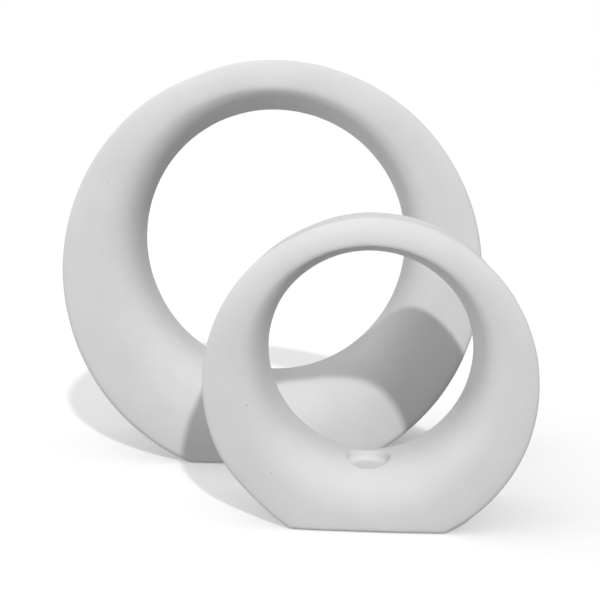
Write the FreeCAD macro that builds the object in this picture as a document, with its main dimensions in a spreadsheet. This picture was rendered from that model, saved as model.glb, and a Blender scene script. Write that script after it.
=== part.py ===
import FreeCAD, Part
import math
import os

# Two plaster ring castings. Each is a solid ring with an eccentric hole, so it is thin at the top
# and heavy at the bottom, and it is cut flat to stand upright. Both rings are set out alike: a big
# outer circle, a smaller hole circle set higher, and a full, softly squared section between them.
# The frame has +Z up, X across the rings and Y along the large ring's hole. The origin is the
# middle of the large ring's standing face, and the small ring stands in front of it, towards -Y.

# Driving dimensions in millimetres and degrees: alias, value, meaning.
DIMENSIONS = [
    ("large_outer_radius", 126.4, "radius of the turned rim"),
    ("large_outer_height", 115.5, "height of the rim's centre above the standing face"),
    ("large_hole_radius", 82.3, "radius of the hole at its waist"),
    ("large_hole_height", 131.0, "height of the hole's centre above the standing face"),
    ("large_half_depth_top", 28.0, "half the depth of the section at the top"),
    ("large_half_depth_foot", 42.7, "half the depth of the section at the foot"),
    ("large_crown_inset", 16.0, "distance of the faces' crown line from the rim"),
    ("large_face_spread_top", 27.0, "how far the faces would reach past their crown line, at the top"),
    ("large_face_spread_foot", 70.0, "how far the faces would reach past their crown line, at the foot"),
    ("large_rim_fillet", 4.0, "rounding of the rim's edges"),
    ("large_foot_fillet", 2.0, "rounding round the standing face"),
    ("small_outer_radius", 83.5, "radius of the turned rim"),
    ("small_outer_height", 73.6, "height of the rim's centre above the standing face"),
    ("small_hole_radius", 53.7, "radius of the hole at its waist"),
    ("small_hole_height", 85.3, "height of the hole's centre above the standing face"),
    ("small_half_depth_top", 29.0, "half the depth of the section at the top"),
    ("small_half_depth_foot", 32.3, "half the depth of the section at the foot"),
    ("small_crown_inset", 13.0, "distance of the faces' crown line from the rim"),
    ("small_face_spread_top", 20.0, "how far the faces would reach past their crown line, at the top"),
    ("small_face_spread_foot", 52.0, "how far the faces would reach past their crown line, at the foot"),
    ("small_rim_fillet", 2.5, "rounding of the rim's edges"),
    ("small_foot_fillet", 2.0, "rounding round the standing face"),
    ("small_offset_across", 56.5, "small ring's place to the right of the large ring"),
    ("small_offset_forward", 118.7, "small ring's place in front of the large ring"),
    ("small_turn", -2.8, "small ring's turn about the vertical"),
    ("inner_fullness_top", 1.7, "superellipse exponent of the section's inner half at the top"),
    ("inner_fullness_sides", 4.4, "pull of that exponent towards the middle height"),
    ("inner_fullness_foot", 2.5, "superellipse exponent of the section's inner half at the foot"),
    ("outer_fullness", 2.0, "superellipse exponent of the section's outer half"),
    ("socket_radius", 11.0, "radius of the candle socket"),
    ("socket_depth", 5.0, "depth of the candle socket below the waist of the hole"),
    ("socket_offset_forward", 6.0, "socket's place in front of the small ring's middle"),
]

# How finely the ring's surface is laid out: stations round the ring and points round a section.
STATIONS = 48
SECTION_POINTS = 32

# Rounds of the pole search; each one cuts the error to a half or less.
POLE_ROUNDS = 40


def add_sheet(document):
    """Put the driving dimensions in a spreadsheet, one aliased cell each."""
    sheet = document.addObject("Spreadsheet::Sheet", "Dimensions")
    for row, (alias, value, meaning) in enumerate(DIMENSIONS, start=1):
        sheet.set("A{}".format(row), alias)
        sheet.set("B{}".format(row), str(value))
        sheet.set("C{}".format(row), meaning)
        sheet.setAlias("B{}".format(row), alias)
    document.recompute()
    return sheet


def signed_power(value, exponent):
    """Raise the size of a value to a power and keep its sign."""
    return math.copysign(abs(value) ** exponent, value)


def between(start, end, share):
    """Return the value that lies at a share of the way from start to end."""
    return start + (end - start) * share


def ring_point(sheet, ring, around, across):
    """Return the surface point at an angle round the hole (0 at the top) and round the section."""
    hole_radius = sheet.get(ring + "_hole_radius")
    hole_height = sheet.get(ring + "_hole_height")
    outer_radius = sheet.get(ring + "_outer_radius")
    rise = hole_height - sheet.get(ring + "_outer_height")
    # Distance from the hole's centre to the rim in this direction, and to the crown line.
    reach = math.sqrt(outer_radius ** 2 - (rise * math.sin(around)) ** 2) - rise * math.cos(around)
    crown = reach - sheet.get(ring + "_crown_inset")
    towards_foot = (1 - math.cos(around)) / 2
    if math.cos(across) < 0:
        upper = between(sheet.inner_fullness_top, sheet.inner_fullness_sides, towards_foot)
        lower = between(sheet.inner_fullness_sides, sheet.inner_fullness_foot, towards_foot)
        fullness = between(upper, lower, towards_foot)
        side = crown - hole_radius
    else:
        fullness = sheet.outer_fullness
        spread_top = sheet.get(ring + "_face_spread_top")
        side = between(spread_top, sheet.get(ring + "_face_spread_foot"), towards_foot)
    exponent = 2 / fullness
    depth_top = sheet.get(ring + "_half_depth_top")
    half_depth = between(depth_top, sheet.get(ring + "_half_depth_foot"), towards_foot)
    radial = crown + side * signed_power(math.cos(across), exponent)
    return FreeCAD.Vector(
        radial * math.sin(around),
        half_depth * signed_power(math.sin(across), exponent),
        hole_height + radial * math.cos(around),
    )


def closed_spline_poles(points):
    """Return the poles of the closed cubic spline, evenly knotted, that runs through the points."""
    count = len(points)
    poles = list(points)
    for _ in range(POLE_ROUNDS):
        neighbours = [poles[i - 1] + poles[(i + 1) % count] for i in range(count)]
        poles = [(points[i] * 6 - neighbours[i]) / 4 for i in range(count)]
    return poles


def ring_surface(sheet, ring):
    """Return the smooth surface, closed both ways, through a grid of points on the ring."""
    turns = [2 * math.pi * i / STATIONS for i in range(STATIONS)]
    angles = [2 * math.pi * (j + 0.5) / SECTION_POINTS for j in range(SECTION_POINTS)]
    grid = [[ring_point(sheet, ring, turn, angle) for angle in angles] for turn in turns]
    grid = [closed_spline_poles(section) for section in grid]
    columns = [closed_spline_poles(list(column)) for column in zip(*grid)]
    poles = [list(section) for section in zip(*columns)]
    surface = Part.BSplineSurface()
    surface.buildFromPolesMultsKnots(
        poles,
        [1] * (STATIONS + 1),
        [1] * (SECTION_POINTS + 1),
        list(range(STATIONS + 1)),
        list(range(SECTION_POINTS + 1)),
        True,
        True,
        3,
        3,
    )
    return surface


def add_blank(document, sheet, ring):
    """Add the ring's faces and hole as one smooth solid that reaches past the rim."""
    blank = document.addObject("Part::Feature", ring + "_blank")
    solid = Part.Solid(Part.Shell([ring_surface(sheet, ring).toShape()]))
    if solid.Volume < 0:
        solid.reverse()
    blank.Shape = solid
    return blank


def add_turning(document, ring):
    """Add the level cylinder, along Y, that gives the ring its round rim."""
    turning = document.addObject("Part::Cylinder", ring + "_turning")
    turning.setExpression("Radius", "Dimensions.{}_outer_radius".format(ring))
    turning.setExpression("Height", "Dimensions.{}_outer_radius * 2".format(ring))
    turning.Placement.Rotation = FreeCAD.Rotation(FreeCAD.Vector(1, 0, 0), -90)
    turning.setExpression("Placement.Base.y", "-Height / 2")
    turning.setExpression("Placement.Base.z", "Dimensions.{}_outer_height".format(ring))
    return turning


def add_ground(document, ring):
    """Add the block that cuts the ring's foot flat at height 0."""
    ground = document.addObject("Part::Box", ring + "_ground")
    size = "Dimensions.{}_outer_radius * 2".format(ring)
    for side in ("Length", "Width", "Height"):
        ground.setExpression(side, size)
    ground.setExpression("Placement.Base.x", "-Length / 2")
    ground.setExpression("Placement.Base.y", "-Width / 2")
    ground.setExpression("Placement.Base.z", "-Height")
    return ground


def add_boolean(document, kind, name, base, tool):
    """Add a Part::Common or a Part::Cut of two objects."""
    result = document.addObject(kind, name)
    result.Base = base
    result.Tool = tool
    document.recompute()
    return result


def add_fillet(document, name, base, radius, is_wanted):
    """Round the wanted edges of an object."""
    numbers = [n for n, edge in enumerate(base.Shape.Edges, start=1) if is_wanted(edge)]
    fillet = document.addObject("Part::Fillet", name)
    fillet.Base = base
    fillet.Edges = [(number, radius, radius) for number in numbers]
    document.recompute()
    return fillet


def is_rim_edge(edge):
    """Tell the rim's edges, each on one side of the middle plane, from the seam lines across it."""
    return edge.BoundBox.YMin * edge.BoundBox.YMax > 0


def is_foot_edge(edge):
    """Tell an edge of the standing face."""
    return abs(edge.BoundBox.ZMax) < 0.001


def add_standing_ring(document, sheet, ring):
    """Add a ring casting with its rounded rim and its flat, rounded foot."""
    blank = add_blank(document, sheet, ring)
    turned = add_boolean(document, "Part::Common", ring + "_turned", blank, add_turning(document, ring))
    rim_radius = sheet.get(ring + "_rim_fillet")
    rounded = add_fillet(document, ring + "_rounded", turned, rim_radius, is_rim_edge)
    on_foot = add_boolean(document, "Part::Cut", ring + "_on_foot", rounded, add_ground(document, ring))
    foot_radius = sheet.get(ring + "_foot_fillet")
    return add_fillet(document, ring + "_standing", on_foot, foot_radius, is_foot_edge)


def add_large_ring(document, sheet):
    """Add the large casting, centred over the origin."""
    ring = add_standing_ring(document, sheet, "large")
    ring.Label = "large_ring"
    return ring


def add_small_ring(document, sheet):
    """Add the small casting, with a candle socket in the floor of its hole."""
    ring = add_standing_ring(document, sheet, "small")
    bit = document.addObject("Part::Cylinder", "small_socket")
    waist = "Dimensions.small_hole_height - Dimensions.small_hole_radius"
    bit.setExpression("Radius", "Dimensions.socket_radius")
    bit.setExpression("Height", "Dimensions.socket_depth + Dimensions.socket_radius")
    bit.setExpression("Placement.Base.y", "-Dimensions.socket_offset_forward")
    bit.setExpression("Placement.Base.z", waist + " - Dimensions.socket_depth")
    drilled = add_boolean(document, "Part::Cut", "small_ring", ring, bit)
    drilled.Label = "small_ring"
    drilled.setExpression("Placement.Base.x", "Dimensions.small_offset_across")
    drilled.setExpression("Placement.Base.y", "-Dimensions.small_offset_forward")
    drilled.setExpression("Placement.Rotation.Angle", "Dimensions.small_turn * 1 deg")
    return drilled


def check(document, parts):
    """Stop if an object failed, or a part is not one sound solid."""
    for item in document.Objects:
        if "Invalid" in item.State or "Error" in item.State:
            raise RuntimeError("{} did not build: {}".format(item.Label, item.State))
    for part in parts:
        if part.Shape.isNull() or not part.Shape.isValid() or len(part.Shape.Solids) != 1:
            raise RuntimeError(part.Label + " is not one valid solid")


def main():
    """Build both rings and write one STEP file each."""
    document = FreeCAD.newDocument("ring_castings")
    sheet = add_sheet(document)
    parts = [add_large_ring(document, sheet), add_small_ring(document, sheet)]
    document.recompute()
    check(document, parts)
    os.makedirs("parts", exist_ok=True)
    for part in parts:
        part.Shape.exportStep("parts/{}.step".format(part.Label))
        box = part.Shape.BoundBox
        print("{}: {:.0f} cm3, {:.1f} x {:.1f} x {:.1f} mm".format(
            part.Label, part.Shape.Volume / 1000, box.XLength, box.YLength, box.ZLength))


main()
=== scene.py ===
import math

import bpy
from mathutils import Matrix, Vector, noise


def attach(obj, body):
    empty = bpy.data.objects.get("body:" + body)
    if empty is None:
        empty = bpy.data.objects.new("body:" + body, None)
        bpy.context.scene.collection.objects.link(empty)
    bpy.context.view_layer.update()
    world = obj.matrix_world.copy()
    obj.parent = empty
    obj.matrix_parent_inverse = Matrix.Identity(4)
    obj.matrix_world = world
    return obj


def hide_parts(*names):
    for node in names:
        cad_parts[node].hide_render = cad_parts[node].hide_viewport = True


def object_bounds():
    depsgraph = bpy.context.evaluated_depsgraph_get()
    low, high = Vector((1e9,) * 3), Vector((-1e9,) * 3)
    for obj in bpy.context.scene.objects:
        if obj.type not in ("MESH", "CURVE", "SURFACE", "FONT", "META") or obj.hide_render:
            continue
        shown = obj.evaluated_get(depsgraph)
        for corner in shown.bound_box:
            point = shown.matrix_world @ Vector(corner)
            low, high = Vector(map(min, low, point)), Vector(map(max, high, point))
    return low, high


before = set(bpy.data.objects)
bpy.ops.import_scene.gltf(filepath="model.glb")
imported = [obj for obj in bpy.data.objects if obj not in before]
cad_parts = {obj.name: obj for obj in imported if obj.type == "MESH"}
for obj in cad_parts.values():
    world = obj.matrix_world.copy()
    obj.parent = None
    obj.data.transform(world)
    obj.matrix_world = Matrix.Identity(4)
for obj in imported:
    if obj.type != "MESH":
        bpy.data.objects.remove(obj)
cad_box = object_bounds()

MM = 0.001

# The rings' own sizes in millimetres and degrees, as the CAD model has them. A rim's height is
# the height of its centre above the foot.
LARGE = {"rim_radius": 126.4, "rim_height": 115.5}
SMALL = {"rim_radius": 83.5, "rim_height": 73.6}
SMALL_FACE = {
    "depth_top": 29.0,
    "depth_foot": 32.3,
    "inset": 13.0,
    "spread_top": 20.0,
    "spread_foot": 52.0,
}
SMALL_ACROSS = 56.5
SMALL_FORWARD = 118.7
SMALL_TURN = -2.8
SMALL_SHIFT = Matrix.Translation((SMALL_ACROSS * MM, -SMALL_FORWARD * MM, 0))
SMALL_PLACE = SMALL_SHIFT @ Matrix.Rotation(math.radians(SMALL_TURN), 4, "Z")

# ---------------------------------------------------------------- materials

# Plaster: texture scales are per metre, greys are linear reflectance.
CLOUD_SCALE = 28.0
CLOUD_GREYS = (0.745, 0.795)
GRAIN_SCALE = 1400.0
GRAIN_ROUGHNESS = (0.66, 0.86)
GRAIN_STRENGTH = 0.25
GRAIN_HEIGHT = 0.15 * MM
# Pinhole spots are painted shade of small hollows, a darker grey mixed into the base colour.
PINHOLE_SHADE_SCALE = 55.0
PINHOLE_SHADE_EDGE = (0.012, 0.03)
PINHOLE_SHADE_GREY = 0.5
PLASTER_SPECULAR = 0.3

# Floor.
MOTTLE_SCALE = 3.0
MOTTLE_GREYS = (0.89, 0.91)
MOTTLE_ROUGHNESS = (0.85, 0.95)
FLOOR_GLOW = 0.2

# The part of a noise texture's range that is spread over a whole effect.
NOISE_LOW = 0.3
NOISE_HIGH = 0.7


def new_material(name):
    """A node material with only its output and a Principled shader."""
    material = bpy.data.materials.new(name)
    material.use_nodes = True
    nodes = material.node_tree.nodes
    return material, nodes, material.node_tree.links, nodes["Principled BSDF"]


def add_noise(nodes, links, coordinates, scale, detail, roughness):
    """A noise texture in the object's own metres."""
    texture = nodes.new("ShaderNodeTexNoise")
    texture.inputs["Scale"].default_value = scale
    texture.inputs["Detail"].default_value = detail
    texture.inputs["Roughness"].default_value = roughness
    links.new(coordinates, texture.inputs["Vector"])
    return texture.outputs["Fac"]


def remap(nodes, links, value, from_range, to_range):
    """A value carried from one range to another, clamped."""
    node = nodes.new("ShaderNodeMapRange")
    node.inputs["From Min"].default_value = from_range[0]
    node.inputs["From Max"].default_value = from_range[1]
    node.inputs["To Min"].default_value = to_range[0]
    node.inputs["To Max"].default_value = to_range[1]
    links.new(value, node.inputs["Value"])
    return node.outputs["Result"]


def mix_colour(nodes, links, factor, first, second):
    """Two colours, each a socket or a grey value, mixed by a factor socket."""
    node = nodes.new("ShaderNodeMix")
    node.data_type = "RGBA"
    links.new(factor, node.inputs["Factor"])
    for name, value in (("A", first), ("B", second)):
        if isinstance(value, float):
            node.inputs[name].default_value = (value, value, value, 1)
        else:
            links.new(value, node.inputs[name])
    return node.outputs["Result"]


def plaster_material():
    """Dry set plaster: matte, near white, faintly clouded, fine-grained, with a few pinhole spots
    painted darker as shade in their hollows.
    """
    material, nodes, links, shader = new_material("set_plaster")
    coordinates = nodes.new("ShaderNodeTexCoord").outputs["Object"]
    noise_range = (NOISE_LOW, NOISE_HIGH)
    clouds = add_noise(nodes, links, coordinates, CLOUD_SCALE, detail=4.0, roughness=0.55)
    grain = add_noise(nodes, links, coordinates, GRAIN_SCALE, detail=3.0, roughness=0.6)
    spots = nodes.new("ShaderNodeTexVoronoi")
    spots.inputs["Scale"].default_value = PINHOLE_SHADE_SCALE
    links.new(coordinates, spots.inputs["Vector"])
    # Painted shade: dark spots that stand for the shade inside pinhole hollows.
    pinhole_shade = remap(nodes, links, spots.outputs["Distance"], PINHOLE_SHADE_EDGE, (1.0, 0.0))
    cloudiness = remap(nodes, links, clouds, noise_range, (0.0, 1.0))
    base = mix_colour(nodes, links, cloudiness, *CLOUD_GREYS)
    links.new(mix_colour(nodes, links, pinhole_shade, base, PINHOLE_SHADE_GREY), shader.inputs["Base Color"])
    links.new(remap(nodes, links, grain, noise_range, GRAIN_ROUGHNESS), shader.inputs["Roughness"])
    shader.inputs["Specular IOR Level"].default_value = PLASTER_SPECULAR
    bump = nodes.new("ShaderNodeBump")
    bump.inputs["Strength"].default_value = GRAIN_STRENGTH
    bump.inputs["Distance"].default_value = GRAIN_HEIGHT
    links.new(grain, bump.inputs["Height"])
    links.new(bump.outputs["Normal"], shader.inputs["Normal"])
    return material


def floor_material():
    """A plain pale studio floor, with a little light of its own to keep it white in the view."""
    material, nodes, links, shader = new_material("pale_floor")
    coordinates = nodes.new("ShaderNodeTexCoord").outputs["Object"]
    mottle = add_noise(nodes, links, coordinates, MOTTLE_SCALE, detail=2.0, roughness=0.5)
    links.new(mix_colour(nodes, links, mottle, *MOTTLE_GREYS), shader.inputs["Base Color"])
    roughness = remap(nodes, links, mottle, (NOISE_LOW, NOISE_HIGH), MOTTLE_ROUGHNESS)
    links.new(roughness, shader.inputs["Roughness"])
    shader.inputs["Emission Color"].default_value = (1, 1, 1, 1)
    shader.inputs["Emission Strength"].default_value = FLOOR_GLOW
    return material


# ---------------------------------------------------------------- castings

# Places where a casting was rubbed down: turn from the top in degrees, clockwise as seen from
# the front, half-width in degrees, and depth in millimetres.
LARGE_RUBBED = [(-22.0, 9.0, 0.8)]
SMALL_RUBBED = [(-135.0, 13.0, 1.7), (-25.0, 12.0, 0.7)]
RUBBED_BAND = 12 * MM

# The even mesh: size of its cells, and how far its steps are eased away.
VOXEL = 0.9 * MM
EASE_FACTOR = 0.5
EASE_ROUNDS = 3

# Unevenness pressed into the surface: scales per metre and most depth. It dies away over the
# last stretch above the foot, so that the foot stays flat.
UNEVEN_SCALE = 26.0
UNEVEN_DEPTH = 0.25 * MM
RIPPLE_SCALE = 60.0
RIPPLE_DEPTH = 0.16 * MM
FLAT_FOOT = 2.0 * MM

# Where in the noise each ring is taken from, so that the two differ.
LARGE_NOISE_START = 3.0
SMALL_NOISE_START = 11.0


def remeshed(name, node):
    """An even, finely meshed copy of a CAD node."""
    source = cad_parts[node]
    piece = bpy.data.objects.new(name, source.data.copy())
    bpy.context.scene.collection.objects.link(piece)
    modifier = piece.modifiers.new("even", "REMESH")
    modifier.mode = "VOXEL"
    modifier.voxel_size = VOXEL
    smoothing = piece.modifiers.new("ease", "SMOOTH")
    smoothing.factor = EASE_FACTOR
    smoothing.iterations = EASE_ROUNDS
    graph = bpy.context.evaluated_depsgraph_get()
    mesh = bpy.data.meshes.new_from_object(piece.evaluated_get(graph))
    piece.modifiers.clear()
    piece.data = mesh
    for polygon in mesh.polygons:
        polygon.use_smooth = True
    return piece


def rubbed_depth(point, sizes, rubbed):
    """How far the rim is rubbed down at a point of the upright ring, in metres."""
    rise = point.z - sizes["rim_height"] * MM
    radius = math.hypot(point.x, rise)
    turn = math.degrees(math.atan2(point.x, rise))
    outer = max(0.0, 1 - (sizes["rim_radius"] * MM - radius) / RUBBED_BAND)
    depth = 0.0
    for middle, half_width, most in rubbed:
        depth += most * MM * math.exp(-((turn - middle) / half_width) ** 2)
    return depth * outer


def share_of(value):
    """Noise between -1 and 1 as a share between 0 and 1."""
    return 0.5 + 0.5 * value


def weather(piece, place, sizes, rubbed, noise_start):
    """Press the surface in by a hair, unevenly, and rub the rim down in its places."""
    mesh = piece.data
    upright = place.inverted()
    offset = Vector((noise_start, 0, 0))
    normals = [vertex.normal.copy() for vertex in mesh.vertices]
    for vertex, normal in zip(mesh.vertices, normals):
        point = vertex.co
        low = noise.noise(point * UNEVEN_SCALE + offset)
        fine = noise.noise(point * RIPPLE_SCALE + offset)
        depth = UNEVEN_DEPTH * share_of(low) + RIPPLE_DEPTH * share_of(fine)
        local = upright @ point
        depth *= min(1.0, max(0.0, point.z / FLAT_FOOT))
        outward = Vector((local.x, 0, local.z - sizes["rim_height"] * MM)).normalized()
        press = place.to_3x3() @ outward * rubbed_depth(local, sizes, rubbed)
        vertex.co = point - normal * depth - press
        vertex.co.z = max(vertex.co.z, cad_box[0][2])


plaster = plaster_material()


def add_casting(name, node, body, place, sizes, rubbed, noise_start):
    """A plaster casting that stands for its CAD node."""
    piece = remeshed(name, node)
    weather(piece, place, sizes, rubbed, noise_start)
    piece.data.materials.clear()
    piece.data.materials.append(plaster)
    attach(piece, body)
    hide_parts(node)


# The parting line on the small ring's front rim edge. It runs from one turn to the other, in
# degrees clockwise from the top. Its middle is sunk a little in the rim and stands behind the
# edge. It wanders along the rim's depth, its height swells and sinks, and its ends fade.
SEAM_FROM = -24.0
SEAM_TO = 82.0
SEAM_HALF_HEIGHT = 0.32 * MM
SEAM_HALF_WIDTH = 0.7 * MM
SEAM_SUNK = 0.2 * MM
SEAM_BEHIND_EDGE = 2.0 * MM
SEAM_WANDER = 1.3 * MM
SEAM_WANDERS = 14
SEAM_WANDER_START = 2.5
SEAM_MEAN_SWELL = 0.75
SEAM_SWELL = 0.5
SEAM_SWELLS = 40
SEAM_SWELL_START = 7.5
SEAM_FADE = 0.4
SEAM_STATIONS = 240
SEAM_SIDES = 8


def rim_edge_depth(turn):
    """How far the small ring's front rim edge stands before its middle plane, in metres."""
    share = (1 - math.cos(turn)) / 2
    depth = SMALL_FACE["depth_top"] + (SMALL_FACE["depth_foot"] - SMALL_FACE["depth_top"]) * share
    spread = SMALL_FACE["spread_top"] + (SMALL_FACE["spread_foot"] - SMALL_FACE["spread_top"]) * share
    return depth * math.sqrt(1 - (SMALL_FACE["inset"] / spread) ** 2) * MM


def add_seam():
    """A thin, slightly wavy ridge where the two halves of the small ring's mould met."""
    rows = []
    for i in range(SEAM_STATIONS):
        share = i / (SEAM_STATIONS - 1)
        turn = math.radians(SEAM_FROM + (SEAM_TO - SEAM_FROM) * share)
        fade = math.sin(math.pi * share) ** SEAM_FADE
        wander = SEAM_WANDER * noise.noise(Vector((share * SEAM_WANDERS, SEAM_WANDER_START, 0)))
        ripple = noise.noise(Vector((share * SEAM_SWELLS, SEAM_SWELL_START, 0)))
        lift = SEAM_HALF_HEIGHT * fade * (SEAM_MEAN_SWELL + SEAM_SWELL * ripple)
        middle = SEAM_BEHIND_EDGE + wander - rim_edge_depth(turn)
        row = []
        for j in range(SEAM_SIDES):
            angle = 2 * math.pi * j / SEAM_SIDES
            radius = SMALL["rim_radius"] * MM - SEAM_SUNK + lift * math.cos(angle)
            along = middle + SEAM_HALF_WIDTH * fade * math.sin(angle)
            height = SMALL["rim_height"] * MM + radius * math.cos(turn)
            row.append(SMALL_PLACE @ Vector((radius * math.sin(turn), along, height)))
        rows.append(row)
    vertices = [vertex for row in rows for vertex in row]
    faces = []
    for i in range(SEAM_STATIONS - 1):
        for j in range(SEAM_SIDES):
            k = (j + 1) % SEAM_SIDES
            first, second = i * SEAM_SIDES, (i + 1) * SEAM_SIDES
            faces.append((first + j, second + j, second + k, first + k))
    faces.append(tuple(range(SEAM_SIDES)))
    faces.append(tuple(range(len(vertices) - 1, len(vertices) - 1 - SEAM_SIDES, -1)))
    mesh = bpy.data.meshes.new("parting_line")
    mesh.from_pydata(vertices, [], faces)
    for polygon in mesh.polygons:
        polygon.use_smooth = True
    mesh.materials.append(plaster)
    seam = bpy.data.objects.new("parting_line", mesh)
    bpy.context.scene.collection.objects.link(seam)
    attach(seam, "small")


add_seam()
add_casting(
    "large_casting", "large_ring", "large", Matrix.Identity(4), LARGE, LARGE_RUBBED, LARGE_NOISE_START
)
add_casting("small_casting", "small_ring", "small", SMALL_PLACE, SMALL, SMALL_RUBBED, SMALL_NOISE_START)

# ---------------------------------------------------------------- stage

# The floor's width in metres.
FLOOR_WIDTH = 30

# The key light: where it stands in degrees, its strength on a face square to it, its width in
# degrees and, in metres, how far off its marker is drawn.
KEY_AZIMUTH = 15
KEY_ELEVATION = 36
KEY_STRENGTH = 0.478
KEY_WIDTH = 2.4
KEY_DISTANCE = 2

# Soft fill from each side: the direction it comes from, and its strength.
FILLS = [((0, 0, 1), 0.67), ((-1, 0, 0), 0.72), ((1, 0, 0), 0.23), ((0, -1, 0), 0.096)]

# The camera: place, lens and sensor in millimetres, tilt in degrees, turn in radians, shift as a
# share of the picture's width, and reach in metres.
CAMERA_PLACE = (37.95, -634.3, 191.5)
CAMERA_TILT_DOWN = 9.05
CAMERA_TURN = 0.0341
CAMERA_LENS = 60.76
CAMERA_SENSOR = 36
CAMERA_SHIFT_UP = 0.0116
CAMERA_REACH = 50


def add_floor():
    """A wide pale floor under both rings, which throws no light back up."""
    bpy.ops.mesh.primitive_plane_add(size=FLOOR_WIDTH, location=(0, 0, cad_box[0][2]))
    floor = bpy.context.object
    floor.name = "floor"
    floor.data.materials.append(floor_material())
    floor.visible_diffuse = False
    floor.visible_shadow = False


def direction(azimuth, elevation):
    """A unit vector from the object towards a place to the right of -Y and above the floor."""
    a, e = math.radians(azimuth), math.radians(elevation)
    return Vector((math.sin(a) * math.cos(e), -math.cos(a) * math.cos(e), math.sin(e)))


def add_key():
    """The key light, raised at the front and a little to the right."""
    data = bpy.data.lights.new("key", "SUN")
    data.energy = KEY_STRENGTH * math.pi
    data.angle = math.radians(KEY_WIDTH)
    key = bpy.data.objects.new("key", data)
    towards = direction(KEY_AZIMUTH, KEY_ELEVATION)
    key.location = towards * KEY_DISTANCE
    key.rotation_euler = (-towards).to_track_quat("-Z", "Y").to_euler()
    bpy.context.scene.collection.objects.link(key)


def add_fill():
    """A soft surround, bright overhead and on the left, that shows plain white behind the floor."""
    world = bpy.data.worlds.new("studio")
    world.use_nodes = True
    nodes, links = world.node_tree.nodes, world.node_tree.links
    view = nodes.new("ShaderNodeTexCoord").outputs["Generated"]
    total = None
    for axis, strength in FILLS:
        facing = nodes.new("ShaderNodeVectorMath")
        facing.operation = "DOT_PRODUCT"
        links.new(view, facing.inputs[0])
        facing.inputs[1].default_value = axis
        lobe = remap(nodes, links, facing.outputs["Value"], (0.0, 1.0), (0.0, strength))
        if total is None:
            total = lobe
            continue
        add = nodes.new("ShaderNodeMath")
        add.operation = "ADD"
        links.new(total, add.inputs[0])
        links.new(lobe, add.inputs[1])
        total = add.outputs["Value"]
    backdrop = nodes.new("ShaderNodeMix")
    links.new(nodes.new("ShaderNodeLightPath").outputs["Is Camera Ray"], backdrop.inputs["Factor"])
    links.new(total, backdrop.inputs["A"])
    backdrop.inputs["B"].default_value = 1.0
    links.new(backdrop.outputs["Result"], nodes["Background"].inputs["Strength"])
    nodes["Background"].inputs["Color"].default_value = (1, 1, 1, 1)
    bpy.context.scene.world = world
    bpy.context.scene.view_settings.view_transform = "Standard"


def add_camera():
    """The camera at the photograph's viewing angle."""
    data = bpy.data.cameras.new("camera")
    data.sensor_width = CAMERA_SENSOR
    data.lens = CAMERA_LENS
    data.shift_y = CAMERA_SHIFT_UP
    data.clip_end = CAMERA_REACH
    camera = bpy.data.objects.new("camera", data)
    camera.location = tuple(along * MM for along in CAMERA_PLACE)
    camera.rotation_euler = (math.radians(90 - CAMERA_TILT_DOWN), 0, CAMERA_TURN)
    bpy.context.scene.collection.objects.link(camera)
    bpy.context.scene.camera = camera


add_floor()
add_key()
add_fill()
add_camera()
